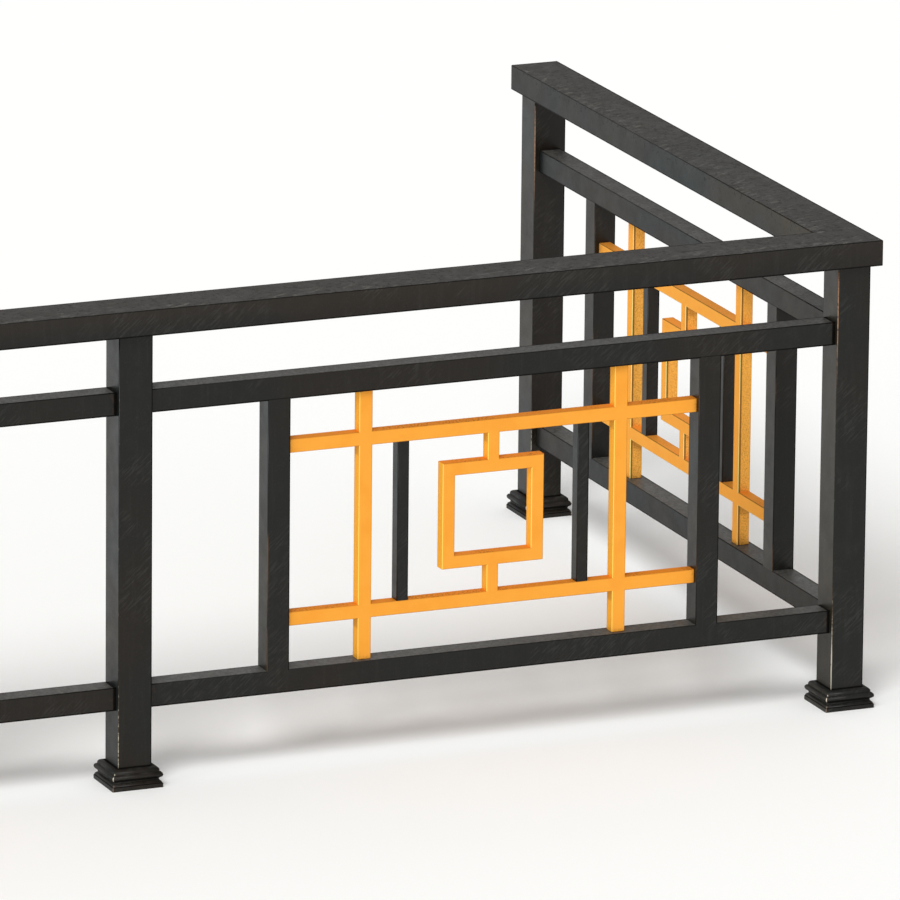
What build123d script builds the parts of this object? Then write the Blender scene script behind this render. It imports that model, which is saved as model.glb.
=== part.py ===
"""Balcony railing in square steel tube with a lattice of square bars in every bay.

Three sides of a balcony: two bays along the front and one return bay at each end, five
posts on moulded shoes, and a handrail mitred at both corners. Millimetres, +Z up. The
origin is on the floor in the middle of the plan: X runs along the front and -Y faces out.
"""
import os

from build123d import *

os.makedirs("parts", exist_ok=True)

# Plan and heights
bay_spacing = 1740.0        # post centre to post centre, front and returns alike
total_height = 1100.0       # floor to the top of the handrail
edge_round = 2.0            # rounding on the long edges of every tube and bar

# Posts and the handrail over them
post_size = 80.0
handrail_overhang = 20.0    # past the post face, on every side
handrail_height = 60.0
handrail_width = post_size + 2 * handrail_overhang
post_height = total_height - handrail_height

# Frame of one bay: two rails between the posts and two stiles between the rails
rail_height = 54.0
frame_depth = 54.0          # rails and stiles share one depth and lie flush
stile_width = 54.0
lower_rail_bottom = 178.0   # clear height under the lower rail
upper_rail_drop = 130.0     # clear height between the upper rail and the handrail
stile_gap = 280.0           # clear gap between a post and the stile beside it

lower_rail_top = lower_rail_bottom + rail_height
upper_rail_bottom = post_height - upper_rail_drop - rail_height
opening_height = upper_rail_bottom - lower_rail_top
rail_length = bay_spacing - post_size
stile_inner = rail_length / 2 - stile_gap - stile_width

# Lattice: its bars lie in one plane, in the middle of the frame's depth, and the pattern
# is set out from the middle of the opening
lattice_depth = 30.0
lattice_chamfer = 1.5       # softening of its front and back edges
lattice_bar = 32.0          # face width of the long bars
upright_centre = 310.0      # middle of the bay to the middle of a long upright
crossbar_centre = 200.0     # middle of the opening to the middle of a crossbar
ring_outer = 246.0
ring_bar = 30.0
stub_width = 28.0           # short links between the ring and the crossbars
short_bar_width = 28.0
short_bar_centre = 219.0    # middle of the bay to the middle of a short upright
lattice_middle = lower_rail_top + opening_height / 2
crossbar_inner = crossbar_centre - lattice_bar / 2

# Moulded shoe around the foot of a post. The projections are measured from the post face
# and the heights from the floor.
shoe_clearance = 0.2        # all round, between the shoe and the post
shoe_projection = 20.0      # band and bead, the widest members
shoe_height = 50.0
band_height = 9.0
groove_height = 1.4
groove_depth = 2.0
ovolo_foot_projection = 19.2
ovolo_middle_projection = 16.3
ovolo_middle_height = 15.9
ovolo_crest_projection = 11.0
ovolo_crest_height = 18.5
throat_projection = 9.0     # deepest point of the scotia
throat_height = 23.0
bead_root_projection = 14.0
bead_bottom = 27.0
bead_top = 38.0
neck_projection = 13.0
neck_top = 41.0
crown_middle_projection = 8.0
crown_projection = 5.0      # ledge at the top of the shoe

# Plan positions
front_y = -bay_spacing / 2
rear_y = bay_spacing / 2
half_front = bay_spacing
outer_x = half_front + handrail_width / 2
outer_y = rear_y + handrail_width / 2

UP = Vector(0, 0, 1)


def save(piece, name):
    """Label a finished piece and write it to its own file."""
    piece.part.label = name
    export_step(piece.part, f"parts/{name}.step")


def upright(name, foot, along, width, depth, length):
    """A vertical tube on `foot`, `width` along the run and `depth` across it."""
    with BuildPart() as bar:
        with BuildSketch(Plane(origin=foot, x_dir=along, z_dir=UP)):
            RectangleRounded(width, depth, edge_round)
        extrude(amount=length)
    save(bar, name)


def level_rail(name, start, along, length):
    """A rail of the bay frame from `start`, its underside level with that point."""
    with BuildPart() as rail:
        with BuildSketch(Plane(origin=start, x_dir=UP.cross(along), z_dir=along)):
            with Locations((0, rail_height / 2)):
                RectangleRounded(frame_depth, rail_height, edge_round)
        extrude(amount=length)
    save(rail, name)


def lattice(name, middle, along):
    """The flush lattice of one bay: uprights, crossbars, ring and links as one piece."""
    across = along.cross(UP)
    ring_inner = ring_outer - 2 * ring_bar
    with BuildPart() as bars:
        with BuildSketch(Plane(origin=middle, x_dir=along, z_dir=across)):
            with Locations((-upright_centre, 0), (upright_centre, 0)):
                Rectangle(lattice_bar, opening_height)
            with Locations((0, -crossbar_centre), (0, crossbar_centre)):
                Rectangle(2 * stile_inner, lattice_bar)
            Rectangle(stub_width, 2 * crossbar_centre)
            Rectangle(ring_outer, ring_outer)
            Rectangle(ring_inner, ring_inner, mode=Mode.SUBTRACT)
        extrude(amount=lattice_depth / 2, both=True)
        faces = bars.faces().sort_by(Axis(middle, across))
        rims = faces[0].edges() + faces[-1].edges()
        chamfer([edge for edge in rims if not is_bar_end(edge, middle, along)], lattice_chamfer)
    save(bars, name)


def is_bar_end(edge, middle, along):
    """True for the end of a bar, which stays square where it meets a stile or a rail."""
    offset = edge.center() - middle
    from_stile = stile_inner - abs(offset.dot(along))
    from_rail = opening_height / 2 - abs(offset.Z)
    return min(from_stile, from_rail) < lattice_chamfer / 2


def bay(name, centre, along, ends):
    """One bay between two posts: rails, stiles, short uprights and the lattice."""
    half = rail_length / 2
    floor = Vector(centre)
    level_rail(f"{name}_lower_rail", floor - along * half + UP * lower_rail_bottom,
               along, rail_length)
    level_rail(f"{name}_upper_rail", floor - along * half + UP * upper_rail_bottom,
               along, rail_length)
    for side, end in zip((-1, 1), ends):
        stile_at = floor + along * side * (stile_inner + stile_width / 2) + UP * lower_rail_top
        upright(f"{name}_{end}_stile", stile_at, along, stile_width, frame_depth, opening_height)
        short_at = (floor + along * side * short_bar_centre
                    + UP * (lattice_middle - crossbar_inner))
        upright(f"{name}_{end}_short_bar", short_at, along, short_bar_width, lattice_depth,
                2 * crossbar_inner)
    lattice(f"{name}_lattice", floor + UP * lattice_middle, along)


def shoe(name, x, y):
    """Moulded shoe: two crossed lengths of one moulding, so the corners mitre."""
    face = post_size / 2
    widest = face + shoe_projection
    groove = widest - groove_depth
    groove_top = band_height + groove_height
    ovolo_foot = (face + ovolo_foot_projection, groove_top)
    ovolo_middle = (face + ovolo_middle_projection, ovolo_middle_height)
    ovolo_crest = (face + ovolo_crest_projection, ovolo_crest_height)
    throat = (face + throat_projection, throat_height)
    bead_foot = (face + bead_root_projection, bead_bottom)
    bead_crest = (face + bead_root_projection, bead_top)
    neck = face + neck_projection
    crown_middle = (face + crown_middle_projection, (neck_top + shoe_height) / 2)
    crown_edge = (face + crown_projection, shoe_height)
    hole = post_size + 2 * shoe_clearance
    seen_from_front = Plane(origin=(x, y, 0), x_dir=(1, 0, 0), z_dir=(0, -1, 0))
    seen_from_side = Plane(origin=(x, y, 0), x_dir=(0, 1, 0), z_dir=(1, 0, 0))
    with BuildPart() as base:
        for view, mode in ((seen_from_front, Mode.ADD), (seen_from_side, Mode.INTERSECT)):
            with BuildSketch(view):
                with BuildLine():
                    Polyline((0, 0), (widest, 0), (widest, band_height), (groove, band_height),
                             (groove, groove_top), ovolo_foot)
                    ThreePointArc(ovolo_foot, ovolo_middle, ovolo_crest)
                    ThreePointArc(ovolo_crest, throat, bead_foot)
                    ThreePointArc(bead_foot, (widest, (bead_bottom + bead_top) / 2), bead_crest)
                    Polyline(bead_crest, (neck, bead_top), (neck, neck_top))
                    ThreePointArc((neck, neck_top), crown_middle, crown_edge)
                    Line(crown_edge, (0, shoe_height))
                    mirror(about=Plane.YZ)
                make_face()
            extrude(amount=widest, both=True, mode=mode)
        with BuildSketch(Plane(origin=(x, y, 0), x_dir=(1, 0, 0), z_dir=UP)):
            RectangleRounded(hole, hole, edge_round + shoe_clearance)
        extrude(amount=shoe_height, mode=Mode.SUBTRACT)
    save(base, name)


# Posts and shoes
posts = {
    "left_rear": (-half_front, rear_y),
    "left_corner": (-half_front, front_y),
    "middle": (0, front_y),
    "right_corner": (half_front, front_y),
    "right_rear": (half_front, rear_y),
}
for place, (x, y) in posts.items():
    upright(f"{place}_post", Vector(x, y, 0), Vector(1, 0, 0), post_size, post_size, post_height)
    shoe(f"{place}_shoe", x, y)

# Bays
bay("front_left_bay", (-bay_spacing / 2, front_y, 0), Vector(1, 0, 0), ("left", "right"))
bay("front_right_bay", (bay_spacing / 2, front_y, 0), Vector(1, 0, 0), ("left", "right"))
bay("left_return", (-half_front, 0, 0), Vector(0, 1, 0), ("front", "rear"))
bay("right_return", (half_front, 0, 0), Vector(0, 1, 0), ("front", "rear"))

# Handrail, mitred where the front meets a return
mitre_right = Plane(origin=(half_front, front_y, 0), z_dir=(1, 1, 0))
mitre_left = Plane(origin=(-half_front, front_y, 0), z_dir=(-1, 1, 0))

with BuildPart() as front_handrail:
    with BuildSketch(Plane(origin=(-outer_x, front_y, post_height + handrail_height / 2),
                           x_dir=(0, 1, 0), z_dir=(1, 0, 0))):
        RectangleRounded(handrail_width, handrail_height, edge_round)
    extrude(amount=2 * outer_x)
    split(bisect_by=mitre_right, keep=Keep.BOTTOM)
    split(bisect_by=mitre_left, keep=Keep.BOTTOM)
save(front_handrail, "front_handrail")

for name, x, mitre in (("left_handrail", -half_front, mitre_left),
                       ("right_handrail", half_front, mitre_right)):
    with BuildPart() as return_handrail:
        with BuildSketch(Plane(origin=(x, -outer_y, post_height + handrail_height / 2),
                               x_dir=(-1, 0, 0), z_dir=(0, 1, 0))):
            RectangleRounded(handrail_width, handrail_height, edge_round)
        extrude(amount=2 * outer_y)
        split(bisect_by=mitre, keep=Keep.TOP)
    save(return_handrail, name)
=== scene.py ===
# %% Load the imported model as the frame
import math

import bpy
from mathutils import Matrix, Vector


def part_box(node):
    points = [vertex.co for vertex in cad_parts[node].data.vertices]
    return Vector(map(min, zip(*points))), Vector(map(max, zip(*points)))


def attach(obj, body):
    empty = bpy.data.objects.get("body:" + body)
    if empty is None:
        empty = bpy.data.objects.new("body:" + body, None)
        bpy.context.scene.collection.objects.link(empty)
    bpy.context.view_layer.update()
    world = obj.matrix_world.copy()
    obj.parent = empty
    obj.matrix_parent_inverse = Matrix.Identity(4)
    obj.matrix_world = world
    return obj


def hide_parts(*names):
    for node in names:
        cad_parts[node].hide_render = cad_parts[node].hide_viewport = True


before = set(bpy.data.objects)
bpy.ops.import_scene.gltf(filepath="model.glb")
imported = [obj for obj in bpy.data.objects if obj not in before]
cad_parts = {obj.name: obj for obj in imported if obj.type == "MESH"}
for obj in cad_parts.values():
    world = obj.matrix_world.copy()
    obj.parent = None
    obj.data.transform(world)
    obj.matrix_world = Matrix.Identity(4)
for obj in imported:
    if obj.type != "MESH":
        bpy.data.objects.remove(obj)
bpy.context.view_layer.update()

# %% [markdown]
# This lesson finishes a balcony railing: square posts on moulded shoes, a mitred handrail,
# and in every bay a frame of rails and stiles around a gold lattice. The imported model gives
# each piece's place and size, so everything below is worked out from the boxes of its nodes.
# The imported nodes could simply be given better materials. Each piece is made again instead,
# because a mesh of our own can carry what a good finish needs: rounded edges that shade
# smoothly, and the distance of every point from the edges.

MM = 0.001

# %% [markdown]
# Written out node by node, a finish takes hundreds of lines that say little. It is easiest
# to read as arithmetic. The class below wraps one output of a node, and each operator on it
# adds the Math node that it stands for. The helper that makes nodes serves materials and
# Geometry Nodes alike, because both kinds of tree share those Math nodes.


# %% Values
class Value:
    """One output of a node, ready for arithmetic."""

    def __init__(self, nodes, output):
        self.nodes = nodes
        self.output = output

    def __getitem__(self, name):
        """Another output of the same node."""
        return Value(self.nodes, pick(self.output.node.outputs, name))

    def __add__(self, other):
        return self.nodes.math("ADD", self, other)

    def __sub__(self, other):
        return self.nodes.math("SUBTRACT", self, other)

    def __rsub__(self, other):
        return self.nodes.math("SUBTRACT", other, self)

    def __mul__(self, other):
        return self.nodes.math("MULTIPLY", self, other)

    def __truediv__(self, other):
        return self.nodes.math("DIVIDE", self, other)

    def __rtruediv__(self, other):
        return self.nodes.math("DIVIDE", other, self)

    def __abs__(self):
        return self.nodes.math("ABSOLUTE", self)

    __radd__ = __add__
    __rmul__ = __mul__


# %% Nodes
def pick(sockets, name):
    """The socket at that place, or the first one in use with that name."""
    if isinstance(name, int):
        return sockets[name]
    return next(socket for socket in sockets if socket.name == name and socket.enabled)


class Nodes:
    """Adds nodes to one tree."""

    def __init__(self, tree):
        self.tree = tree

    def add(self, kind, settings=None, inputs=None):
        """A node with its settings, then the value or the links of each socket."""
        node = self.tree.nodes.new(kind)
        for name, setting in (settings or {}).items():
            setattr(node, name, setting)
        for name, given in (inputs or {}).items():
            socket = pick(node.inputs, name)
            for value in given if isinstance(given, list) else [given]:
                if isinstance(value, Value):
                    self.tree.links.new(value.output, socket)
                else:
                    socket.default_value = value
        return Value(self, next(output for output in node.outputs if output.enabled)
                     if node.outputs else None)

    def math(self, operation, *values):
        return self.add("ShaderNodeMath", {"operation": operation}, dict(enumerate(values)))

    def vector(self, operation, *values):
        return self.add("ShaderNodeVectorMath", {"operation": operation},
                        dict(enumerate(values)))

    def smallest(self, *values):
        least = values[0]
        for value in values[1:]:
            least = self.math("MINIMUM", least, value)
        return least

    def largest(self, *values):
        most = values[0]
        for value in values[1:]:
            most = self.math("MAXIMUM", most, value)
        return most

    def parts_of(self, vector):
        """The X, Y and Z of a vector."""
        split = self.add("ShaderNodeSeparateXYZ", inputs={"Vector": vector})
        return split["X"], split["Y"], split["Z"]


# %% [markdown]
# The railing has 41 pieces of only three kinds: tubes, shoes and lattices. Each kind is a
# Geometry Nodes tree with named inputs for its sizes, which says a rule once and makes every
# copy from it. A tree is attached to an object as a modifier, its inputs are set by each
# socket's identifier, and the evaluated result is copied into a plain mesh. The modifier
# then goes, so that what is left is an ordinary piece that any program can read.


# %% Trees, and the pieces that they make
def new_tree(name, inputs):
    """A Geometry Nodes tree with one geometry in and out, and the named inputs."""
    tree = bpy.data.node_groups.new(name, "GeometryNodeTree")
    tree.interface.new_socket("Geometry", in_out="INPUT", socket_type="NodeSocketGeometry")
    tree.interface.new_socket("Geometry", in_out="OUTPUT", socket_type="NodeSocketGeometry")
    for label, kind in inputs.items():
        tree.interface.new_socket(label, in_out="INPUT", socket_type=f"NodeSocket{kind}")
    nodes = Nodes(tree)
    return nodes, nodes.add("NodeGroupInput")


def end_tree(nodes, given, shape):
    """Real geometry and a finish close each tree, because an export drops instances."""
    shape = nodes.add("GeometryNodeRealizeInstances", inputs={"Geometry": shape})
    shape = nodes.add("GeometryNodeSetMaterial",
                      inputs={"Geometry": shape, "Material": given["Finish"]})
    nodes.add("NodeGroupOutput", inputs={"Geometry": shape})


def new_object(name, data):
    """An object of a mesh, a lamp or a camera, linked into the scene at the origin."""
    made_object = bpy.data.objects.new(name, data)
    bpy.context.collection.objects.link(made_object)
    return made_object


def add_shaping(piece, nodes, sizes):
    """Put a tree on an object and set its inputs by their identifiers."""
    shaping = piece.modifiers.new(nodes.tree.name, "NODES")
    shaping.node_group = nodes.tree
    for socket in nodes.tree.interface.items_tree:
        if socket.in_out == "INPUT" and socket.name in sizes:
            shaping[socket.identifier] = sizes[socket.name]


def settle(piece):
    """Keep the evaluated shape as the piece's own mesh and take its modifiers off."""
    graph = bpy.context.evaluated_depsgraph_get()
    mesh = bpy.data.meshes.new_from_object(piece.evaluated_get(graph),
                                           preserve_all_data_layers=True, depsgraph=graph)
    piece.modifiers.clear()
    piece.data = mesh
    mesh.name = piece.name


# %% A finished piece takes the place of its node
RAILING_BODY = "root"


def hand_over(piece, node):
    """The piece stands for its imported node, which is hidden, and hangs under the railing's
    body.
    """
    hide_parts(node)
    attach(piece, RAILING_BODY)


# %% [markdown]
# Old paint and patina wear through along the edges first. A worn edge could be painted by
# hand or found by comparing face directions, but both are lost in other programs. On
# straight bars the distance from each side of the piece's own box says as much. The tree
# below stores two vectors on every point, one measured from the lowest corner and one from
# the highest. Both change evenly along a face, so they stay exact between the points of
# even the longest bar. The same tree marks the rounded edges and can shade them smoothly,
# while the flat faces stay flat.

# %% Distances from the sides of a piece
FLAT_ENOUGH = 0.9999

surface_tree, surface = new_tree("surface", {
    "Low corner": "Vector", "High corner": "Vector", "Smooth rims": "Float",
    "Finish": "Material"})
place = surface_tree.add("GeometryNodeInputPosition")
measured = surface["Geometry"]
for label, distance in (
        ("from_low", surface_tree.vector("SUBTRACT", place, surface["Low corner"])),
        ("from_high", surface_tree.vector("SUBTRACT", surface["High corner"], place))):
    measured = surface_tree.add("GeometryNodeStoreNamedAttribute",
                                {"data_type": "FLOAT_VECTOR", "domain": "POINT"},
                                {"Geometry": measured, "Name": label, "Value": distance})
facing = surface_tree.vector("ABSOLUTE", surface_tree.add("GeometryNodeInputNormal"))
squarest = surface_tree.largest(*surface_tree.parts_of(facing))
is_round = surface_tree.math("LESS_THAN", squarest, FLAT_ENOUGH)
measured = surface_tree.add("GeometryNodeSetShadeSmooth", {"domain": "FACE"},
                            {"Geometry": measured,
                             "Shade Smooth": is_round * surface["Smooth rims"]})
measured = surface_tree.add("GeometryNodeStoreNamedAttribute",
                            {"data_type": "FLOAT", "domain": "FACE"},
                            {"Geometry": measured, "Name": "rim", "Value": is_round})
end_tree(surface_tree, surface, measured)
print("Stored on every piece: from_low, from_high and rim")

# %% [markdown]
# Posts, rails, stiles, short bars and the handrail are all square or oblong tube with a
# small radius on the long edges. A stretched cube with a bevel would do for one of them,
# but its bevel would go round the ends too. One tree instead draws the rounded outline,
# fills it and pushes it out along the tube. Where two lengths of handrail meet, each is cut
# at 45 degrees: the tree slides every end point along the tube by its distance from the
# outer side.

# %% The tube tree
TUBE_EDGE_ROUND = 2.0 * MM
ROUND_POINTS = 5
SAME_POINT = 0.01 * MM

tube_tree, tube = new_tree("tube", {
    "Width": "Float", "Depth": "Float", "Length": "Float", "Edge round": "Float",
    "Start mitre": "Float", "End mitre": "Float", "Turn": "Rotation", "Start": "Vector",
    "Finish": "Material"})
outline = tube_tree.add("GeometryNodeCurvePrimitiveQuadrilateral",
                        inputs={"Width": tube["Width"], "Height": tube["Depth"]})
outline = tube_tree.add("GeometryNodeFilletCurve", {"mode": "POLY"}, {
    "Curve": outline, "Count": ROUND_POINTS, "Radius": tube["Edge round"]})
end_face = tube_tree.add("GeometryNodeFillCurve", {"mode": "NGONS"}, {"Curve": outline})
walls = tube_tree.add("GeometryNodeExtrudeMesh", {"mode": "FACES"}, {
    "Mesh": end_face, "Offset": (0, 0, 1), "Offset Scale": tube["Length"],
    "Individual": False})
other_end = tube_tree.add("GeometryNodeFlipFaces", inputs={"Mesh": end_face})
closed = tube_tree.add("GeometryNodeJoinGeometry", inputs={"Geometry": [walls, other_end]})
closed = tube_tree.add("GeometryNodeMergeByDistance",
                       inputs={"Geometry": closed, "Distance": SAME_POINT})

# %% Mitres, and the tube's place
across, _, along = tube_tree.parts_of(tube_tree.add("GeometryNodeInputPosition"))
from_outside = across + tube["Width"] / 2
toward_end = along / tube["Length"]
slide = from_outside * ((1 - toward_end) * tube["Start mitre"]
                        - toward_end * tube["End mitre"])
mitred = tube_tree.add("GeometryNodeSetPosition", inputs={
    "Geometry": closed,
    "Offset": tube_tree.add("ShaderNodeCombineXYZ", inputs={"Z": slide})})
placed = tube_tree.add("GeometryNodeTransform", inputs={
    "Geometry": mitred, "Translation": tube["Start"], "Rotation": tube["Turn"]})
end_tree(tube_tree, tube, placed)
print("Tube edges rounded by", TUBE_EDGE_ROUND / MM, "mm")


# %% Make one tube inside the box of its node
def make_tube(node, run, finish, mitres=(0.0, 0.0), lap=0.0):
    """A tube along `run`, a unit vector, in its node's box and past its ends by `lap`."""
    low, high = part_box(node)
    middle = (low + high) / 2
    size = high - low
    side = Vector((1, 0, 0)) if run.z else Vector((0, 0, 1)).cross(run)
    length = abs(size.dot(run)) + 2 * lap
    piece = new_object(f"{node}_tube", bpy.data.meshes.new(node))
    add_shaping(piece, tube_tree, {
        "Width": abs(size.dot(side)), "Depth": abs(size.dot(run.cross(side))),
        "Length": length, "Edge round": TUBE_EDGE_ROUND,
        "Start mitre": mitres[0], "End mitre": mitres[1],
        "Turn": Matrix((side, run.cross(side), run)).transposed().to_euler(),
        "Start": middle - run * length / 2, "Finish": finish})
    add_shaping(piece, surface_tree, {
        "Low corner": low, "High corner": high, "Smooth rims": 1.0, "Finish": finish})
    settle(piece)
    hand_over(piece, node)
    return piece


# %% [markdown]
# Now the finishes. Their patterns could come from pictures wrapped round each bar, but a
# picture has seams and a fixed sharpness. Layered noise on the object's own coordinates has
# neither, and it runs on across the joints as it would on a railing that was finished after
# it was welded. The helpers below mix colours, turn a number into a soft mask, and make
# noise of a given size in metres.


# %% Helpers for the finishes
def new_finish(name):
    finish = bpy.data.materials.new(name)
    finish.use_nodes = True
    finish.node_tree.nodes.clear()
    return finish, Nodes(finish.node_tree)


def blend(nodes, amount, first, second):
    """One colour over another, by an amount from 0 to 1."""
    return nodes.add("ShaderNodeMix", {"data_type": "RGBA"},
                     {"Factor": amount, "A": first, "B": second})["Result"]


def ramp(nodes, value, low, high):
    """0 below `low`, 1 above `high` and a soft step between; turned round if low > high."""
    if low > high:
        return 1 - ramp(nodes, value, high, low)
    return nodes.add("ShaderNodeMapRange", {"interpolation_type": "SMOOTHSTEP"},
                     {"Value": value, "From Min": low, "From Max": high})


def noise(nodes, place, size, detail=4.0, roughness=0.5):
    """Noise whose patches are about `size` metres across."""
    return nodes.add("ShaderNodeTexNoise", {"noise_dimensions": "3D"}, {
        "Vector": place, "Scale": 1 / size, "Detail": detail,
        "Roughness": roughness})["Fac"]


def stretched(nodes, place, turn, stretch):
    """The place turned by degrees and stretched, for strokes instead of spots."""
    turned = nodes.add("ShaderNodeMapping", {"vector_type": "POINT"}, {
        "Vector": place, "Rotation": tuple(math.radians(angle) for angle in turn)})
    return nodes.vector("MULTIPLY", turned, stretch)


def attribute(nodes, name):
    return nodes.add("ShaderNodeAttribute", {"attribute_name": name})


# %% [markdown]
# A finish needs to know three things about a point: where it is, which way it faces, and
# how far it is from the sides of its piece. The class below works them out once for each
# material. Two of the distances deserve a word. A point is on an edge when it is on two
# sides at once, so the middle one of its three distances tells how far the nearest edge is.
# The ends of a bar are the sides along its only long direction, so the other two directions
# are put out of the running by adding a whole metre to them.

# %% What a finish knows about a point
THIN = 150 * MM


class Spot:
    """A point of a piece: its place, which way it faces, and how far its sides are."""

    def __init__(self, nodes):
        self.place = nodes.add("ShaderNodeTexCoord")["Object"]
        self.x, self.y, self.level = nodes.parts_of(self.place)
        self.face_x, self.face_y, self.face_z = nodes.parts_of(
            nodes.add("ShaderNodeNewGeometry")["True Normal"])
        self.facing_up = ramp(nodes, self.face_z, 0.5, 0.9)
        self.facing_left = ramp(nodes, self.face_x, -0.5, -0.9)
        self.facing_front = ramp(nodes, self.face_y, -0.6, -0.9)

        low = attribute(nodes, "from_low")["Vector"]
        high = attribute(nodes, "from_high")["Vector"]
        self.from_left, self.from_front, self.from_bottom = nodes.parts_of(low)
        self.from_right, self.from_back = nodes.parts_of(high)[:2]
        nearest = nodes.parts_of(nodes.vector("MINIMUM", low, high))
        sizes = nodes.parts_of(nodes.vector("ADD", low, high))
        self.near_x, self.near_y, near_z = nearest
        self.width, self.depth, height = sizes
        self.from_edge = nodes.largest(
            nodes.smallest(self.near_x, self.near_y),
            nodes.smallest(nodes.largest(self.near_x, self.near_y), near_z))
        self.from_end = nodes.smallest(*(
            gap + nodes.math("LESS_THAN", size, THIN) for gap, size in zip(nearest, sizes)))
        self.is_level = nodes.math("LESS_THAN", height, THIN)


# %% [markdown]
# The black parts have a dark brown-black patina over steel, brushed on after welding and
# then waxed. Its ground colour drifts slowly between brown and green-black. The handrail is
# browner where hands have warmed it. Faces turned to the left are painted lighter for the
# sky that they catch at a low angle: some get a faint blue-green painted reflection, and near
# the corner a paler olive painted sheen.

# %% Ground colour of the patina, with painted sheen on the left faces
BROWN_BLACK = (0.0100, 0.0072, 0.0044, 1)
GREEN_BLACK = (0.0066, 0.0068, 0.0058, 1)
HANDRAIL_BROWN = (0.0170, 0.0128, 0.0088, 1)
SKY_REFLECTION_TEAL = (0.005, 0.022, 0.025, 1)
OLIVE = (0.060, 0.047, 0.022, 1)
HANDRAIL_FROM = 1.04
HANDRAIL_FULLY = 1.09


def ground_color(nodes, spot, on_handrail, cloud):
    """The colour of the patina before anything has worn or settled on it, with a painted sky
    reflection and painted sheen on the left faces.
    """
    drift = ramp(nodes, noise(nodes, spot.place, size=0.60, detail=3), 0.42, 0.58)
    tone = noise(nodes, spot.place, size=0.28, detail=3)
    from_middle = abs(spot.x)
    at_corner = (ramp(nodes, spot.y, -0.10, -0.80) * ramp(nodes, from_middle, 1.5, 1.65)
                 * spot.facing_left)
    color = blend(nodes, drift, BROWN_BLACK, GREEN_BLACK)
    warmed = on_handrail * (0.8 - ramp(nodes, from_middle, 0.3, 1.5) * 0.35)
    color = blend(nodes, warmed, color, HANDRAIL_BROWN)
    # Painted reflection: some left faces get a faint teal for the sky that they face.
    painted_sky_reflection = spot.facing_left * (1 - at_corner) * (
        ramp(nodes, spot.level, 0.80, 0.98) * 0.25 + ramp(nodes, tone, 0.49, 0.58) * 0.30)
    color = blend(nodes, painted_sky_reflection, color, SKY_REFLECTION_TEAL)
    cloudy = on_handrail * (0.12 + ramp(nodes, cloud, 0.44, 0.58) * 0.40)
    # Painted sheen: left faces near the corner, and here and there elsewhere, are painted a
    # paler olive.
    painted_left_sheen = (at_corner * (0.15 + cloudy)
            + spot.facing_left * ramp(nodes, tone, 0.48, 0.40) * 0.12)
    return blend(nodes, painted_left_sheen, color, OLIVE)


# %% [markdown]
# Wear comes in several kinds, and one noise for all of them would look like marble. Short
# strokes in two directions are knocks and rubs. Long thin noise at a steep angle makes the
# hairline scratches of a cloth with grit in it. Wisps belong to the top of the handrail and
# are strongest near its outer side, where hands go. Each kind is a stretched or plain noise
# with a mask of its own, and all of them add up to one amount of pale scuffing.


# %% Scratches and scuffs
def scuffs(nodes, spot, on_handrail, cloud, grain):
    """How scuffed a point is, and how deeply the strokes are cut there."""
    place = spot.place
    strokes = noise(nodes, stretched(nodes, place, (20, 35, 30), (1, 9, 9)), 0.030, 5, 0.6)
    crossing = noise(nodes, stretched(nodes, place, (-25, -40, 65), (1, 10, 10)),
                     0.024, 5, 0.6)
    streaks = noise(nodes, stretched(nodes, place, (0, 0, 0), (1, 1, 0.07)), 0.012, 4, 0.6)
    hairs = noise(nodes, stretched(nodes, place, (0, -48, 0), (1, 1, 0.10)), 0.0034, 2)
    wisps = noise(nodes, stretched(nodes, place, (0, 0, -25), (1, 3.5, 3.5)),
                  0.040, 6, 0.72)
    clusters = ramp(nodes, noise(nodes, place, size=0.11, detail=3), 0.46, 0.64)
    scraped = ramp(nodes, hairs, 0.53, 0.62) * ramp(
        nodes, noise(nodes, place, size=0.16, detail=2), 0.47, 0.56)
    scratched = nodes.largest(ramp(nodes, strokes, 0.56, 0.72),
                              ramp(nodes, crossing, 0.58, 0.74))
    near_side = ramp(nodes, nodes.smallest(spot.from_left, spot.from_front),
                     75 * MM, 10 * MM)
    on_top = spot.facing_up * on_handrail
    amount = (scratched * clusters * (0.10 + spot.facing_up * 0.40)
              + ramp(nodes, cloud, 0.48, 0.78) * (0.04 + spot.facing_up * 0.20)
              + ramp(nodes, streaks, 0.50, 0.78) * 0.05
              + ramp(nodes, grain, 0.56, 0.70) * (0.08 + on_top * 0.24)
              + on_top * ramp(nodes, wisps, 0.53, 0.61) * (0.35 + near_side * 0.60)
              + scraped * 0.11)
    return amount, strokes * clusters
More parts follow.
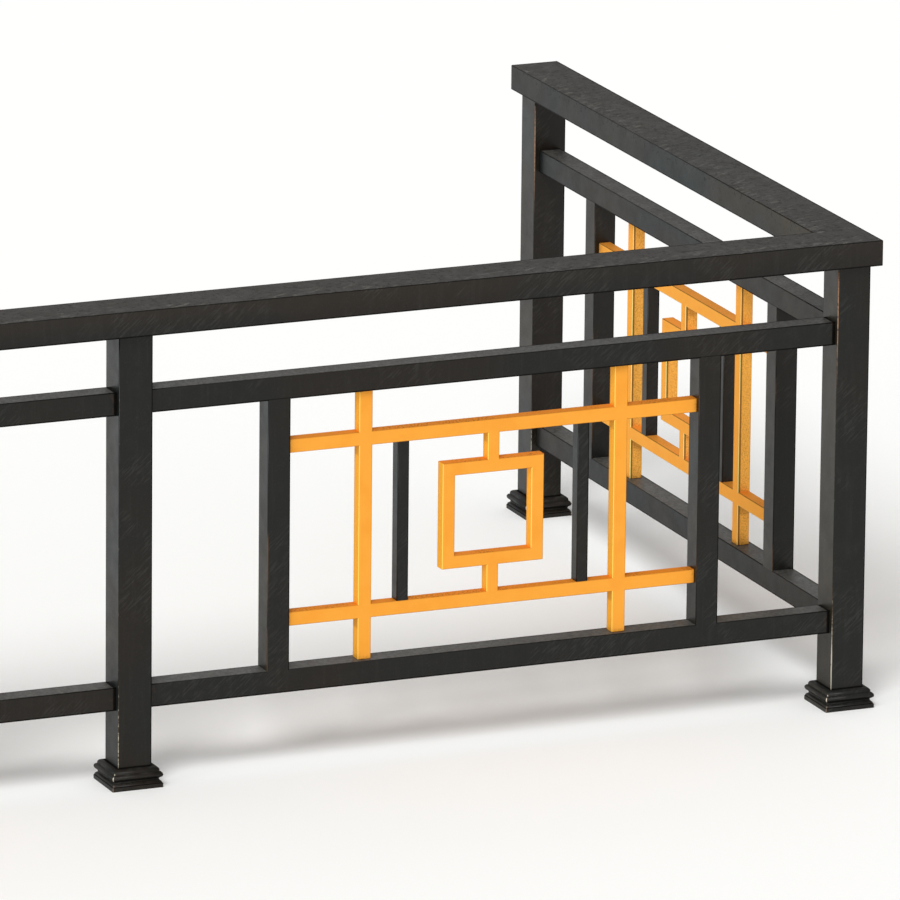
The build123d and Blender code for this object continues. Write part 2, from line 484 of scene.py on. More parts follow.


# %% [markdown]
# Where the foot of a post is kicked and brushed, its front left corner is rubbed through to
# pale bare metal with a brown fringe of half-worn patina. Only that corner, the one turned to
# the light, gets them, so the pale line and its fringe are partly wear and partly painted
# highlight. The mask for this is a product of simple questions: is this a rounded edge, of a
# post, at that corner, low down, and does the noise say yes? Corners high up on the outer
# posts show only the fringe.


# %% Edges of the tubes that are rubbed, with a painted highlight
def tube_rubbing_and_highlight(nodes, spot):
    """How bare a point is, with its painted highlight, and how much of the brown fringe it
    has.
    """
    rim = attribute(nodes, "rim")["Fac"]
    at_corner = ramp(nodes, nodes.largest(spot.from_left, spot.from_front), 12 * MM, 4 * MM)
    is_stout = nodes.math("GREATER_THAN", spot.width, 40 * MM)
    on_post = ramp(nodes, nodes.smallest(spot.width, spot.depth), 60 * MM, 75 * MM)
    upright_rim = rim * is_stout * at_corner * (1 - spot.is_level)

    spots = noise(nodes, spot.place, size=0.010, detail=4, roughness=0.7)
    lengths = noise(nodes, spot.place, size=0.16, detail=2)
    far_out = ramp(nodes, abs(spot.x), 0.5, 1.0)
    near_foot = ramp(nodes, spot.level, 0.34, 0.06)
    kicked = ramp(nodes, spot.level, 0.17, 0.12)
    handled = ramp(nodes, spot.level, 0.74, 0.94) * far_out
    rubbed_and_lit = ramp(nodes, spots + near_foot * (0.14 + far_out * 0.16), 0.58, 0.68)
    worn_round = ramp(nodes, spot.from_edge - kicked * far_out * (0.7 * MM),
                      1.6 * MM, 1.1 * MM)
    # Painted highlight, partly wear: the pale line on the front left corner.
    bare_and_highlight = upright_rim * on_post * worn_round * rubbed_and_lit * (
        0.12 + near_foot * 0.50 + kicked * 0.36)
    fringe_and_highlight = upright_rim * nodes.largest(
        on_post * near_foot * (0.15 + far_out * 0.25),
        on_post * handled * ramp(nodes, spots, 0.36, 0.52),
        (1 - on_post) * ramp(nodes, lengths, 0.50, 0.66) * 0.35)
    return bare_and_highlight, fringe_and_highlight


# %% [markdown]
# Painted shade: the places that the light hardly reaches are painted near-black, along the
# arrises, under the rails, in the corners where a rail meets a post, and round the foot of a
# post above its shoe. Each place is one narrow mask, and the strongest of them counts. A dark
# line is what makes one black bar stand out from the next.


# %% Dark lines of painted shade on the tubes
def tube_painted_shade(nodes, spot):
    """How much painted shade a point gets."""
    rim = attribute(nodes, "rim")["Fac"]
    # Painted contact shadow at the ends of the rails where they run into a post, narrower at
    # the left end.
    below_handrail = ramp(nodes, spot.level, 1.03, 1.02)
    narrower_at_left = ramp(nodes, spot.from_left, 21 * MM, 20 * MM) * (4.5 * MM)
    at_post = (ramp(nodes, spot.from_end + narrower_at_left, 8.5 * MM, 6.0 * MM)
               * spot.is_level * below_handrail * 0.9)
    # Painted contact shadow round the foot of a post, just above its shoe.
    at_shoe = ramp(nodes, spot.level, 51 * MM, 47.5 * MM) * 0.9
    # Painted shade under the level pieces, on their left faces, along their rims, and by the
    # right and back edges.
    under = ramp(nodes, spot.from_bottom, 4.8 * MM, 2.4 * MM) * spot.is_level * 0.75
    painted_left_shade = ramp(nodes, spot.face_x, -0.85, -0.95) * spot.is_level * 0.25
    level_rim = rim * spot.is_level * (0.50 + ramp(nodes, spot.face_z, 0.2, -0.4) * 0.4)
    far_rim = rim * 0.9 * nodes.largest(ramp(nodes, spot.face_x, 0.05, 0.3),
                                        ramp(nodes, spot.face_y, 0.05, 0.3))
    right_line = (ramp(nodes, spot.from_right, 3.4 * MM, 2.4 * MM) * spot.facing_front
                  * (1 - spot.is_level) * 0.7)
    back_line = (ramp(nodes, nodes.smallest(spot.from_right, spot.from_back),
                      6.5 * MM, 3.5 * MM) * spot.facing_up * spot.is_level * 0.75)
    return nodes.largest(level_rim, far_rim, at_post, at_shoe, under, painted_left_shade,
                         right_line, back_line)


# %% All that happens at the edges of a tube
def tube_edges(nodes, spot):
    """Bare metal and its fringe, partly painted highlight, painted shade, and a little rust
    beside the welds, partly a painted warm reflection.
    """
    bare_and_highlight, fringe_and_highlight = tube_rubbing_and_highlight(nodes, spot)
    # Brown spots near the rail ends: rust, partly a painted warm reflection in the shade
    # beside the posts.
    by_weld = ramp(nodes, spot.from_end, 22 * MM, 8 * MM) * spot.is_level
    spotty = ramp(nodes, noise(nodes, spot.place, size=0.010, detail=4, roughness=0.6),
                  0.50, 0.66)
    return bare_and_highlight, fringe_and_highlight, tube_painted_shade(nodes, spot), by_weld * spotty * 0.25


# %% [markdown]
# The shoes are small mouldings, so their marks follow the profile and not a box. Members
# that stand out get pale spots where they turn the front left corner, partly rubbed metal and
# partly painted highlight. The hollow, the groove and the crease against the post get painted
# shade. Height above the floor and distance from the outer face are enough to tell these
# places apart.

# %% Edges of the shoes
GROOVE_LEVEL = 10 * MM


def shoe_edges(nodes, spot):
    """Pale spots where the members turn the corner, partly rubbed and partly painted
    highlight, and painted shade in the hollows.
    """
    from_face = nodes.smallest(spot.near_x, spot.near_y)
    from_mitre = abs(spot.near_x - spot.near_y)
    crest = (ramp(nodes, from_face, 6.6 * MM, 5.8 * MM)
             * ramp(nodes, abs(spot.face_z), 0.80, 0.55))
    at_corner = ramp(nodes, nodes.largest(spot.from_left, spot.from_front),
                     16 * MM, 10 * MM)
    spots = noise(nodes, spot.place, size=0.009, detail=3, roughness=0.6)
    rubbed_and_lit = crest * ramp(nodes, spots + at_corner * 0.2, 0.52, 0.60)
    upper = ramp(nodes, spot.level, 20 * MM, 26 * MM)
    # Painted highlight, partly rubbed metal: pale spots on the upper members at the mitre.
    bare_and_highlight = rubbed_and_lit * ramp(nodes, from_mitre, 1.5 * MM, 0.8 * MM) * (0.10 + upper * 0.75)
    fringe_and_highlight = rubbed_and_lit * ramp(nodes, from_mitre, 2.6 * MM, 1.6 * MM) * 0.3

    # Painted shade under the overhangs, in the groove and in the crease against the post.
    hollow = ramp(nodes, spot.face_z, -0.15, -0.55)
    by_post = ramp(nodes, from_face, 14.5 * MM, 17.5 * MM)
    in_groove = ramp(nodes, abs(spot.level - GROOVE_LEVEL), 1.2 * MM, 0.4 * MM)
    painted_shade = nodes.largest(hollow * 0.65, by_post * 0.8, in_groove * 0.8)
    rust = crest * 0.12 * ramp(
        nodes, noise(nodes, spot.place, size=0.014, detail=4, roughness=0.6), 0.54, 0.68)
    return bare_and_highlight, fringe_and_highlight, painted_shade, rust


# %% [markdown]
# Now the layers go over each other in the order in which they came about: ground, scuffs,
# dust on the ledges, pits, rust, fringe and bare metal, the last two partly painted
# highlight.
# The same masks drive roughness and a shallow bump, so that a scratch is pale, dull and cut
# in all at once. The painted shade hardly shines. A specular level that varies over a surface
# would be lost when the model is exported, so the painted shade is a second, near-black
# shader with a low level of its own, mixed over the first.

# %% Colours of wear, painted highlight and painted shade, and how much they shine
SCUFF = (0.105, 0.102, 0.092, 1)
DUST = (0.150, 0.146, 0.134, 1)
PIT = (0.003, 0.0025, 0.002, 1)
RUST = (0.070, 0.028, 0.010, 1)
COPPER_FRINGE_GLINT = (0.27, 0.145, 0.075, 1)
BARE_METAL_HIGHLIGHT = (0.88, 0.82, 0.66, 1)
PAINTED_SHADE_BLACK = (0.0022, 0.0018, 0.0015, 1)
PATINA_ROUGHNESS = 0.36
PATINA_SPECULAR = 0.25
PATINA_RELIEF = 0.4 * MM
PAINTED_SHADE_ROUGHNESS = 0.9
PAINTED_SHADE_SPECULAR = 0.05


# %% The patina
def patina(name, edges, dust_share, dullness=0.0):
    """Dark patina whose edges get painted shade, or are rubbed bare with a painted highlight,
    as `edges` says.
    """
    finish, nodes = new_finish(name)
    spot = Spot(nodes)
    on_handrail = ramp(nodes, spot.level, HANDRAIL_FROM, HANDRAIL_FULLY)
    cloud = noise(nodes, spot.place, size=0.045, detail=6, roughness=0.6)
    grain = noise(nodes, spot.place, size=0.004, detail=5, roughness=0.65)
    color = ground_color(nodes, spot, on_handrail, cloud)
    scuffed, cut = scuffs(nodes, spot, on_handrail, cloud, grain)
    color = blend(nodes, scuffed, color, SCUFF)

    settled = ramp(nodes, noise(nodes, spot.place, size=0.009, detail=5, roughness=0.7),
                   0.40, 0.62)
    dusty = spot.facing_up * (1 - on_handrail) * (0.28 + settled * 0.34) * dust_share
    color = blend(nodes, dusty, color, DUST)
    pits = ramp(nodes, grain, 0.40, 0.30) * (0.2 + spot.facing_up * 0.4)
    color = blend(nodes, pits, color, PIT)

    bare_and_highlight, fringe_and_highlight, painted_shade, rust = edges(nodes, spot)
    color = blend(nodes, rust, color, RUST)
    color = blend(nodes, fringe_and_highlight, color, COPPER_FRINGE_GLINT)
    color = blend(nodes, bare_and_highlight, color, BARE_METAL_HIGHLIGHT)
    # Hand smudges on the handrail, stronger on its left faces, are mixed in with the painted
    # shade.
    smudges = on_handrail * ramp(
        nodes, noise(nodes, spot.place, size=0.012, detail=5, roughness=0.65), 0.46, 0.38)
    painted_shade = nodes.largest(painted_shade, smudges * (spot.facing_up * 0.32 + spot.facing_left * 0.50))

    roughness = (PATINA_ROUGHNESS + dullness + spot.facing_up * 0.10
                 + (cloud - 0.5) * 0.35 + (grain - 0.5) * 0.25 + scuffed * 0.3)
    bump = nodes.add("ShaderNodeBump", inputs={
        "Strength": 0.35, "Distance": PATINA_RELIEF,
        "Height": cloud * 0.6 + grain * 0.25 - cut * 0.2 - bare_and_highlight * 0.3})
    highlight_and_polish = nodes.add("ShaderNodeBsdfPrincipled", inputs={
        "Base Color": color, "Roughness": roughness, "Metallic": bare_and_highlight * 0.35,
        "Specular IOR Level": PATINA_SPECULAR, "Normal": bump})
    painted_shade_shader = nodes.add("ShaderNodeBsdfPrincipled", inputs={
        "Base Color": PAINTED_SHADE_BLACK, "Roughness": PAINTED_SHADE_ROUGHNESS,
        "Specular IOR Level": PAINTED_SHADE_SPECULAR})
    # The painted shade is a near-black, dull shader mixed over the patina.
    shader = nodes.add("ShaderNodeMixShader", inputs={
        0: painted_shade * (1 - bare_and_highlight) * (1 - fringe_and_highlight), 1: highlight_and_polish, 2: painted_shade_shader})
    nodes.add("ShaderNodeOutputMaterial", inputs={"Surface": shader})
    return finish


# %% The two black finishes
dark_patina = patina("dark_patina", tube_edges, dust_share=1.0)
shoe_patina = patina("shoe_patina", shoe_edges, dust_share=0.0, dullness=0.12)
for finish in (dark_patina, shoe_patina):
    print(finish.name, "nodes:", len(finish.node_tree.nodes))

# %% [markdown]
# The lattice is gilt: a warm satin gold, smooth on the faces. Pure metal would mirror the
# pale room and look like brass plate, while plain yellow paint would look dead, so the
# finish stands between the two with a low metallic value and a golden tint on its gloss.
# The sides of the bars face along the run, and the light thrown back between them is
# painted in as a brighter, yellower gold. Each return bay is painted paler as well, a more
# brightly lit copy of the same gold. The sides are finely speckled, most of all in the return
# bays.

# %% Gold on the faces and the sides of the bars
GOLD = (0.935, 0.392, 0.052, 1)
DEEP_GOLD = (0.90, 0.34, 0.038, 1)
BRIGHT_GOLD = (1.0, 0.455, 0.044, 1)
PAINTED_LIT_GOLD = (1.0, 0.52, 0.13, 1)
SPECK = (0.42, 0.13, 0.020, 1)

gold_lattice, gold = new_finish("gold_lattice")
spot = Spot(gold)
rim = attribute(gold, "rim")["Fac"]
in_front = gold.math("LESS_THAN", spot.depth, THIN)
in_return = 1 - in_front
along_run = in_front * abs(spot.face_x) + in_return * abs(spot.face_y)
bar_side = ramp(gold, along_run, 0.6, 0.9)
soft = noise(gold, spot.place, size=0.06, detail=3)
specks = noise(gold, spot.place, size=0.0022, detail=3, roughness=0.6)
color = blend(gold, ramp(gold, soft, 0.38, 0.70) * 0.5, GOLD, DEEP_GOLD)
# Painted light: the sides of the bars brighter, and the return bays paler.
color = blend(gold, bar_side, color, BRIGHT_GOLD)
color = blend(gold, in_return * (0.25 + bar_side * 0.25), color, PAINTED_LIT_GOLD)
speckled = ramp(gold, specks, 0.46, 0.62) * bar_side * (0.20 + in_return * 0.35)
color = blend(gold, speckled, color, SPECK)

# %% [markdown]
# The tops of the bars are painted a darker, redder gold as painted shade, with dark flecks
# of dust and old polish. The sides of the uprights just below each crossbar, and along the
# back of the bars, get painted shade in a polish brown.

# %% Tops of the bars, and painted shade below the crossbars and along the back
SHADED_TOP_GOLD = (0.90, 0.29, 0.024, 1)
POLISH_AND_SHADE_BROWN = (0.20, 0.075, 0.015, 1)
BELOW_UPPER_CROSSBAR = 716 * MM
BELOW_LOWER_CROSSBAR = 316 * MM

# Painted shade: the tops are a darker, redder gold.
color = blend(gold, spot.facing_up * (1 - in_return * 0.5), color, SHADED_TOP_GOLD)
flecks = noise(gold, spot.place, size=0.005, detail=5, roughness=0.65)
soiled = ramp(gold, noise(gold, spot.place, size=0.13, detail=2), 0.42, 0.58)
dull = (ramp(gold, flecks, 0.46, 0.62) * spot.facing_up * (0.08 + soiled * 0.62)
        * (1 - in_return * 0.6))
color = blend(gold, dull, color, POLISH_AND_SHADE_BROWN)
# Painted shade below each crossbar and along the back of the bars' sides.
below_bar = gold.smallest(abs(spot.level - BELOW_UPPER_CROSSBAR),
                          abs(spot.level - BELOW_LOWER_CROSSBAR))
along_back = in_front * ramp(gold, spot.from_back, 5.0 * MM, 3.0 * MM)
painted_shade_on_sides = bar_side * gold.largest(ramp(gold, below_bar, 15 * MM, 7 * MM) * 0.30,
                                   along_back * 0.45)
color = blend(gold, painted_shade_on_sides, color, POLISH_AND_SHADE_BROWN)

# %% [markdown]
# A painted highlight brightens the upright arrises on the left to a clear yellow line, with a
# brown line of painted shade beside it in the return bays. The other arrises get a brown
# painted shade. Where a bar runs into the frame, a thin black line of painted shade marks
# the contact.

# %% Arrises and ends of the bars
HIGHLIGHT_GOLD = (1.0, 0.70, 0.13, 1)
HIGHLIGHT_RETURN_GOLD = (1.0, 0.92, 0.34, 1)
CONTACT_SHADE_BLACK = (0.018, 0.007, 0.002, 1)

# Painted highlight on the left upright arrises, whose roughness is also lowered as polish.
highlight_and_polish = (rim * ramp(gold, abs(spot.face_z), 0.30, 0.10)
            * ramp(gold, spot.face_x, -0.15, -0.45) * ramp(gold, spot.face_y, 0.10, -0.10))
color = blend(gold, highlight_and_polish, color, HIGHLIGHT_GOLD)
color = blend(gold, highlight_and_polish * in_return, color, HIGHLIGHT_RETURN_GOLD)
# Painted shade beside the left arrises in the return bays, and on the arrises that face up,
# right or down.
beside_rim = (in_return * ramp(gold, spot.from_left, 6.0 * MM, 4.5 * MM)
              * spot.facing_front)
painted_shade_on_rims = gold.largest(
    beside_rim * 0.8,
    rim * ramp(gold, spot.face_z, 0.10, 0.35) * (0.25 + in_return * 0.45),
    rim * ramp(gold, spot.face_x, 0.15, 0.45) * 0.5,
    rim * ramp(gold, spot.face_z, -0.15, -0.45) * 0.4)
color = blend(gold, painted_shade_on_rims, color, POLISH_AND_SHADE_BROWN)
# Painted shade in flecks near the bar ends, and a painted contact shadow where they meet the
# frame.
painted_shade_near_ends = ramp(gold, spot.from_end, 10 * MM, 2 * MM) * ramp(gold, flecks, 0.44, 0.60)
color = blend(gold, painted_shade_near_ends * 0.3, color, POLISH_AND_SHADE_BROWN)
color = blend(gold, ramp(gold, spot.from_end, 1.6 * MM, 0.8 * MM) * 0.8, color, CONTACT_SHADE_BLACK)

# %% The gold's gloss
GOLD_TINT = (1.0, 0.62, 0.16, 1)
GOLD_ROUGHNESS = 0.40
GOLD_METALLIC = 0.35
GOLD_SPECULAR = 0.04
GOLD_RELIEF = 0.2 * MM

bump = gold.add("ShaderNodeBump", inputs={
    "Strength": 0.2, "Distance": GOLD_RELIEF, "Height": flecks * 0.5 + soft * 0.5})
shader = gold.add("ShaderNodeBsdfPrincipled", inputs={
    "Base Color": color, "Metallic": GOLD_METALLIC, "Specular IOR Level": GOLD_SPECULAR,
    "Specular Tint": GOLD_TINT,
    "Roughness": GOLD_ROUGHNESS + (soft - 0.5) * 0.2 + dull * 0.2 - highlight_and_polish * 0.10,
    "Normal": bump})
gold.add("ShaderNodeOutputMaterial", inputs={"Surface": shader})
print(gold_lattice.name, "nodes:", len(gold_lattice.node_tree.nodes))

# %% [markdown]
# Five posts carry the railing, and between them each bay has an upper and a lower rail, two
# stiles and two short bars. All are the tube above, so a loop over the nodes makes them.
# The stiles are a little longer than their nodes, because a weld that is ground flush fills
# the rounded edge of the rail that it runs into.

# %% Posts, rails, stiles and short bars
UPWARD = Vector((0, 0, 1))
ALONG_FRONT = Vector((1, 0, 0))
ALONG_RETURN = Vector((0, 1, 0))

made = {}
for node in sorted(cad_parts):
    if node.endswith(("_post", "_short_bar")):
        made[node] = make_tube(node, UPWARD, dark_patina)
    elif node.endswith("_stile"):
        made[node] = make_tube(node, UPWARD, dark_patina,
                               lap=TUBE_EDGE_ROUND)
    elif node.endswith("_rail"):
        run = ALONG_FRONT if node.startswith("front") else ALONG_RETURN
        made[node] = make_tube(node, run, dark_patina)
print("Straight tubes:", len(made))

# %% [markdown]
# The handrail is three lengths of oblong tube. A single tube bent round both corners would
# have no joints, and the real one shows a mitre at each. So the front length is mitred at
# both ends, and each return starts or ends with a mitre and is cut square at the rear. Both
# returns run with the outer side on the same hand, so that one rule mitres them all.

# %% Handrail
for node, run, mitres in (("front_handrail", ALONG_FRONT, (1.0, 1.0)),
                          ("right_handrail", ALONG_RETURN, (1.0, 0.0)),
                          ("left_handrail", -ALONG_RETURN, (0.0, 1.0))):
    made[node] = make_tube(node, run, dark_patina, mitres)
    print(node, "vertices:", len(made[node].data.vertices))

# %% [markdown]
# A shoe covers the foot of each post. It is a small classical moulding, cast or bent in
# four lengths and mitred: a flat band, a groove, a quarter-round, a hollow, a bead and a
# hollow crown. A stack of bevelled blocks would give the rough outline, but not the hollows
# that catch the light. So the outline is drawn once as a string of points, with its round
# stretches worked out as arcs through three points. The numbers are millimetres, out from
# the post and up from the floor.

# %% Arcs of the outline
ARC_STEPS = 8


def arc(start, through, end):
    """Points of the arc from `start` to `end` that passes through a third point."""
    (ax, ay), (bx, by), (cx, cy) = start, through, end
    turn = 2 * (ax * (by - cy) + bx * (cy - ay) + cx * (ay - by))
    squares = [x * x + y * y for x, y in (start, through, end)]
    x = (squares[0] * (by - cy) + squares[1] * (cy - ay) + squares[2] * (ay - by)) / turn
    y = (squares[0] * (cx - bx) + squares[1] * (ax - cx) + squares[2] * (bx - ax)) / turn
    radius = math.hypot(ax - x, ay - y)
    first = math.atan2(ay - y, ax - x)
    sweep = (math.atan2(cy - y, cx - x) - first) % math.tau
    passing = (math.atan2(by - y, bx - x) - first) % math.tau
    if passing > sweep:
        sweep -= math.tau
    steps = [first + sweep * step / ARC_STEPS for step in range(ARC_STEPS + 1)]
    return [(x + radius * math.cos(angle), y + radius * math.sin(angle)) for angle in steps]


# %% Outline of the shoe's moulding
SHOE_PROJECTION = 20.0
SHOE_CLEARANCE = 0.2 * MM
BAND_HEIGHT = 9.5
GROOVE_TOP = 10.5
GROOVE_FLOOR = SHOE_PROJECTION - 1.2
OVOLO_TOP = (13.6, 16.4)
HOLLOW_TOP = (14.5, 22.5)
BEAD_TOP = (14.5, 36.6)
SHOE_HEIGHT = 47.4

moulding = [(0, 0), (SHOE_PROJECTION, 0), (SHOE_PROJECTION, BAND_HEIGHT),
            (GROOVE_FLOOR, BAND_HEIGHT), (GROOVE_FLOOR, GROOVE_TOP)]
moulding += arc((18.6, GROOVE_TOP), (16.9, 14.2), OVOLO_TOP)
moulding += arc(OVOLO_TOP, (12.6, 19.4), HOLLOW_TOP)[1:]
moulding += arc(HOLLOW_TOP, (SHOE_PROJECTION, 29.6), BEAD_TOP)[1:]
moulding += [(13.8, 36.8)]
moulding += arc((14.0, 38.2), (12.2, 43.4), (7.6, 46.6))
moulding += [(0, SHOE_HEIGHT)]
moulding = [(max(reach * MM, SHOE_CLEARANCE), height * MM) for reach, height in moulding]
print("Points in the moulding:", len(moulding))

# %% [markdown]
# A profile swept along a curve pinches where the curve turns sharply. A mitre is simpler:
# the tree lays a grid with one row for each point of the outline and one column for each
# corner of the square, and sets every grid point on the diagonal at its row's reach and
# height. The last column falls on the first, and merging them closes the shoe.

# %% The shoe tree
CORNERS_AND_BACK = 5

shoe_tree, shoe = new_tree("shoe", {
    "Post size": "Float", "Centre": "Vector", "Finish": "Material"})
count = shoe_tree.add("GeometryNodeAttributeDomainSize", {"component": "MESH"},
                      {"Geometry": shoe["Geometry"]})["Point Count"]
strip = shoe_tree.add("GeometryNodeMeshGrid", inputs={
    "Vertices X": count, "Vertices Y": CORNERS_AND_BACK})["Mesh"]
index = shoe_tree.add("GeometryNodeInputIndex")
row = shoe_tree.math("FLOOR", index / CORNERS_AND_BACK)
corner = index - row * CORNERS_AND_BACK
drawn = shoe_tree.add("GeometryNodeSampleIndex", {"data_type": "FLOAT_VECTOR"}, {
    "Geometry": shoe["Geometry"], "Value": shoe_tree.add("GeometryNodeInputPosition"),
    "Index": row})
reach, _, height = shoe_tree.parts_of(drawn)
turn = corner * (math.tau / 4) + math.tau / 8
diagonal = (reach + shoe["Post size"] / 2) * math.sqrt(2)
ring = shoe_tree.add("ShaderNodeCombineXYZ", inputs={
    "X": diagonal * shoe_tree.math("COSINE", turn),
    "Y": diagonal * shoe_tree.math("SINE", turn), "Z": height})
wrapped = shoe_tree.add("GeometryNodeSetPosition", inputs={
    "Geometry": strip, "Position": shoe_tree.vector("ADD", ring, shoe["Centre"])})
wrapped = shoe_tree.add("GeometryNodeMergeByDistance",
                        inputs={"Geometry": wrapped, "Distance": SAME_POINT})
end_tree(shoe_tree, shoe, wrapped)

# %% Shoes
post_low, post_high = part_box("middle_post")
for node in sorted(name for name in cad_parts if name.endswith("_shoe")):
    low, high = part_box(node)
    centre = (low + high) / 2
    closed = moulding + moulding[:1]
    line = bpy.data.meshes.new(node)
    line.from_pydata([(reach, 0, height) for reach, height in closed],
                     [(i, i + 1) for i in range(len(closed) - 1)], [])
    made[node] = new_object(f"{node}_moulding", line)
    add_shaping(made[node], shoe_tree, {
        "Post size": post_high.x - post_low.x, "Centre": (centre.x, centre.y, low.z),
        "Finish": shoe_patina})
    add_shaping(made[node], surface_tree, {
        "Low corner": low, "High corner": high, "Smooth rims": 1.0, "Finish": shoe_patina})
    settle(made[node])
    hand_over(made[node], node)
    print(node, "faces:", len(made[node].data.polygons))

# %% [markdown]
# The lattice is the jewel of each bay: long uprights and crossbars that meet flush, a square
# ring in the middle, and short links that hold it. On the real one the bars are welded and
# ground flat, so they read as a single piece with no seam. Bars that only lay in each other
# would flicker where their faces coincide. So the tree makes one block for each kind of
# bar, sets the pairs out on two points either side of the middle, and unites everything.

# %% Sizes of the lattice
LATTICE_BAR = 32.0 * MM
UPRIGHT_CENTRE = 310.0 * MM
CROSSBAR_CENTRE = 200.0 * MM
RING_SIZE = 246.0 * MM
RING_BAR = 30.0 * MM
LINK_WIDTH = 28.0 * MM
RIM_ROUND = 2.2 * MM
RIM_STEPS = 4

# %% Bars of the lattice tree
lattice_tree, lattice = new_tree("lattice", {
    "Width": "Float", "Depth": "Float", "Height": "Float", "Bar": "Float",
    "Upright centre": "Float", "Crossbar centre": "Float", "Ring size": "Float",
    "Ring bar": "Float", "Link width": "Float", "Turn": "Rotation", "Centre": "Vector",
    "Finish": "Material"})


def block(width, depth, height):
    """A plain bar around the origin, before it is set out and united."""
    return lattice_tree.add("GeometryNodeMeshCube", inputs={
        "Size": lattice_tree.add("ShaderNodeCombineXYZ",
                                 inputs={"X": width, "Y": depth, "Z": height})})


def pair(bar, axis, distance):
    """The bar twice, at the same distance either side of the middle."""
    start = lattice_tree.add("ShaderNodeCombineXYZ", inputs={axis: distance * -1})
    step = lattice_tree.add("ShaderNodeCombineXYZ", inputs={axis: distance * 2})
    places = lattice_tree.add("GeometryNodeMeshLine", {"mode": "OFFSET"},
                              {"Count": 2, "Start Location": start, "Offset": step})
    both = lattice_tree.add("GeometryNodeInstanceOnPoints", inputs={
        "Points": places, "Instance": bar})
    return lattice_tree.add("GeometryNodeRealizeInstances", inputs={"Geometry": both})


def unite(*bars):
    return lattice_tree.add("GeometryNodeMeshBoolean",
                            {"operation": "UNION", "solver": "EXACT"}, {1: list(bars)})


# %% The united lattice
depth = lattice["Depth"]
uprights = pair(block(lattice["Bar"], depth, lattice["Height"]),
                "X", lattice["Upright centre"])
crossbars = pair(block(lattice["Width"], depth, lattice["Bar"]),
                 "Z", lattice["Crossbar centre"])
links = block(lattice["Link width"], depth, lattice["Crossbar centre"] * 2)
ring = block(lattice["Ring size"], depth, lattice["Ring size"])
ring_hole = lattice["Ring size"] - lattice["Ring bar"] * 2
ring_and_links = lattice_tree.add(
    "GeometryNodeMeshBoolean", {"operation": "DIFFERENCE", "solver": "EXACT"},
    {0: unite(ring, links), 1: block(ring_hole, depth * 2, ring_hole)})
lattice_shape = unite(uprights, crossbars, ring_and_links)

# %% [markdown]
# The arrises of the real bars are softened, and they catch the light as thin lines. The
# tree marks the sharp edges of the front and back for a Bevel modifier, except at the bar
# ends, which stay square where they meet the frame.

# %% Rims to be rounded, and the lattice's place
SHARP_ANGLE = math.radians(28)
AT_THE_SIDE = 0.1 * MM

bar_x, bar_y, bar_z = lattice_tree.parts_of(lattice_tree.add("GeometryNodeInputPosition"))
on_rim = lattice_tree.math("GREATER_THAN", abs(bar_y), depth / 2 - AT_THE_SIDE)
inside_width = lattice_tree.math("LESS_THAN", abs(bar_x),
                                 lattice["Width"] / 2 - AT_THE_SIDE)
inside_height = lattice_tree.math("LESS_THAN", abs(bar_z),
                                  lattice["Height"] / 2 - AT_THE_SIDE)
bend = lattice_tree.add("GeometryNodeInputMeshEdgeAngle")["Unsigned Angle"]
is_sharp = lattice_tree.math("GREATER_THAN", bend, SHARP_ANGLE)
lattice_shape = lattice_tree.add(
    "GeometryNodeStoreNamedAttribute", {"data_type": "FLOAT", "domain": "EDGE"},
    {"Geometry": lattice_shape, "Name": "bevel_weight_edge",
     "Value": on_rim * inside_width * inside_height * is_sharp})
lattice_shape = lattice_tree.add("GeometryNodeTransform", inputs={
    "Geometry": lattice_shape, "Translation": lattice["Centre"],
    "Rotation": lattice["Turn"]})
end_tree(lattice_tree, lattice, lattice_shape)

# %% Lattices
for node in sorted(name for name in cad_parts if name.endswith("_lattice")):
    low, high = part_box(node)
    size = high - low
    quarter_turn = math.pi / 2 if size.y > size.x else 0
    made[node] = new_object(f"{node}_bars", bpy.data.meshes.new(node))
    add_shaping(made[node], lattice_tree, {
        "Width": max(size.x, size.y), "Depth": min(size.x, size.y), "Height": size.z,
        "Bar": LATTICE_BAR, "Upright centre": UPRIGHT_CENTRE,
        "Crossbar centre": CROSSBAR_CENTRE, "Ring size": RING_SIZE, "Ring bar": RING_BAR,
        "Link width": LINK_WIDTH, "Turn": (0, 0, quarter_turn),
        "Centre": (low + high) / 2, "Finish": gold_lattice})
    rounding = made[node].modifiers.new("rims", "BEVEL")
    rounding.limit_method = "WEIGHT"
    rounding.width = RIM_ROUND
    rounding.segments = RIM_STEPS
    add_shaping(made[node], surface_tree, {
        "Low corner": low, "High corner": high, "Smooth rims": 0.0,
        "Finish": gold_lattice})
    settle(made[node])
    hand_over(made[node], node)
    print(node, "faces:", len(made[node].data.polygons))
print("Pieces made:", len(made), "of", len(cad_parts), "nodes")

# %% [markdown]
# The floor is a plain pale sheet that takes the railing's shadow. It could rise behind into
# a curved backdrop, but every view looks down on the railing, so a sheet that is large
# enough fills the picture by itself and looks the same from all sides.

# %% Floor
FLOOR_SIZE = 160.0
FLOOR_WHITE = (0.99, 0.99, 0.975, 1)

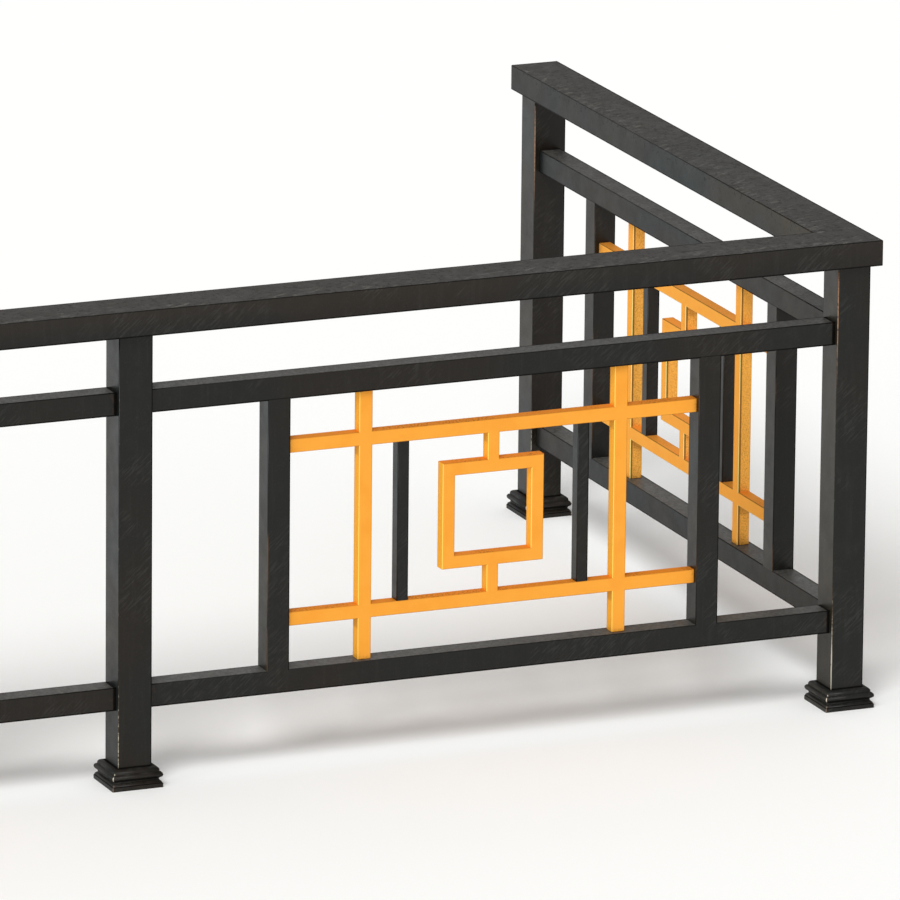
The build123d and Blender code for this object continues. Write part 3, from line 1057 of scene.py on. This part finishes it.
half = FLOOR_SIZE / 2
floor_mesh = bpy.data.meshes.new("floor")
floor_mesh.from_pydata([(-half, -half, 0), (half, -half, 0), (half, half, 0),
                        (-half, half, 0)], [], [(0, 1, 2, 3)])
floor = new_object("floor", floor_mesh)
floor_finish, floor_nodes = new_finish("pale_floor")
shader = floor_nodes.add("ShaderNodeBsdfPrincipled", inputs={
    "Base Color": FLOOR_WHITE, "Roughness": 0.9, "Specular IOR Level": 0.0})
floor_nodes.add("ShaderNodeOutputMaterial", inputs={"Surface": shader})
floor_mesh.materials.append(floor_finish)
print("Floor:", FLOOR_SIZE, "m square")

# %% [markdown]
# The photograph's light is a big soft lamp at the front left and a pale room all round. Area
# lamps would fall off along a railing this long, so the lamps here are far ones with a wide
# angle, which gives every bay the same soft shadow. The second and lower one grazes the
# left faces, and the grey sky fills in and gives satin metal something even to reflect.

# %% Light
SKY = 0.55

world = bpy.data.worlds.new("studio")
world.use_nodes = True
world.node_tree.nodes["Background"].inputs["Color"].default_value = (1, 1, 1, 1)
world.node_tree.nodes["Background"].inputs["Strength"].default_value = SKY
bpy.context.scene.world = world


def soft_lamp(name, strength, height, compass, spread):
    """A wide far lamp: degrees above the floor, and round from the front to the right."""
    data = bpy.data.lights.new(name, "SUN")
    data.energy = strength
    data.angle = math.radians(spread)
    lamp = new_object(name, data)
    lamp.rotation_euler = (math.radians(90 - height), 0, math.radians(compass))


soft_lamp("key", strength=1.85, height=48, compass=-38, spread=25)
soft_lamp("edge_light", strength=0.6, height=9, compass=-67, spread=25)

# %% [markdown]
# The photograph was taken from far away with a long lens, a little to the left of the
# railing and about fifteen degrees above it. The camera could be placed by eye, but then
# every line would be a little off. The one below has the place and turn worked out from the
# edges of the railing as they appear in the picture.

# %% Camera
CAMERA_PLACE = (-9.0549, -24.1065, 7.5909)
CAMERA_YAW = 0.40001
CAMERA_PITCH = 0.26688
CAMERA_ROLL = 0.01018
CAMERA_LENS = 467.82
FILM_WIDTH = 36.0
FAR_ENOUGH = 500.0

camera_data = bpy.data.cameras.new("camera")
camera_data.sensor_width = FILM_WIDTH
camera_data.lens = CAMERA_LENS
camera_data.clip_end = FAR_ENOUGH
camera = new_object("camera", camera_data)
camera.matrix_world = (Matrix.Translation(CAMERA_PLACE)
                       @ Matrix.Rotation(-CAMERA_YAW, 4, "Z")
                       @ Matrix.Rotation(math.pi / 2 - CAMERA_PITCH, 4, "X")
                       @ Matrix.Rotation(CAMERA_ROLL, 4, "Z"))
bpy.context.scene.camera = camera
bpy.context.scene.view_settings.view_transform = "Standard"
